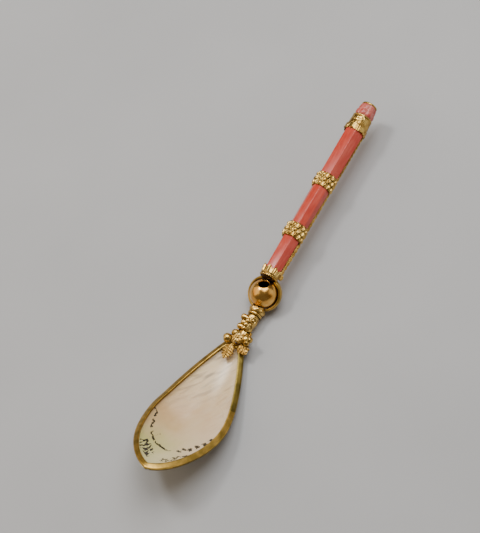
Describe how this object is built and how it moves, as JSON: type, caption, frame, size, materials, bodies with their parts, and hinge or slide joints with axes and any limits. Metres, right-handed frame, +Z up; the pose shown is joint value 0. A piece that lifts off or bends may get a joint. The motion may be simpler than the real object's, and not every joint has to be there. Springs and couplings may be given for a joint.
{
  "type": "whistle spoon",
  "caption": "Display spoon with a shell bowl in a gilt rim, leafy heel, hollow ball whistle and bored faceted coral handle.",
  "frame": {"origin": "middle of the bounds in X and Y, on the plane that the bowl's belly touches", "axes": "+X along the handle towards the mouthpiece, +Y to the left, +Z up out of the open bowl"},
  "size_m": [0.1812, 0.0332, 0.0259],
  "materials": {
    "gilt": "polished and chased gilding",
    "coral": "cut in facets and polished",
    "nacre": "polished mother-of-pearl"
  },
  "bodies": {
    "root": {"nozzle": "gilt", "collar": "gilt", "air_tube": "gilt", "crest_lower_left": "gilt", "crest_lower_right": "gilt", "crest_middle_left": "gilt", "crest_middle_right": "gilt", "crest_upper_left": "gilt", "crest_upper_right": "gilt", "band_lower": "gilt", "band_upper": "gilt", "ferrule": "gilt", "mouth_rim": "gilt", "ball_chamber": "gilt", "ball_strap_left": "gilt", "ball_strap_right": "gilt", "bowl_rim": "gilt", "neck_capital": "gilt", "scroll_knop": "gilt", "knop_beads": "gilt", "heel_bracket": "gilt", "leaf_left": "gilt", "leaf_right": "gilt", "blossom": "gilt", "bud_left": "gilt", "bud_top": "gilt", "berry_bunch": "gilt", "berry_stem": "gilt", "bud_stem": "gilt", "coral_lower": "coral", "coral_middle": "coral", "coral_upper": "coral", "mouthpiece": "coral", "shell_bowl": "nacre"}
  },
  "joints": []
}
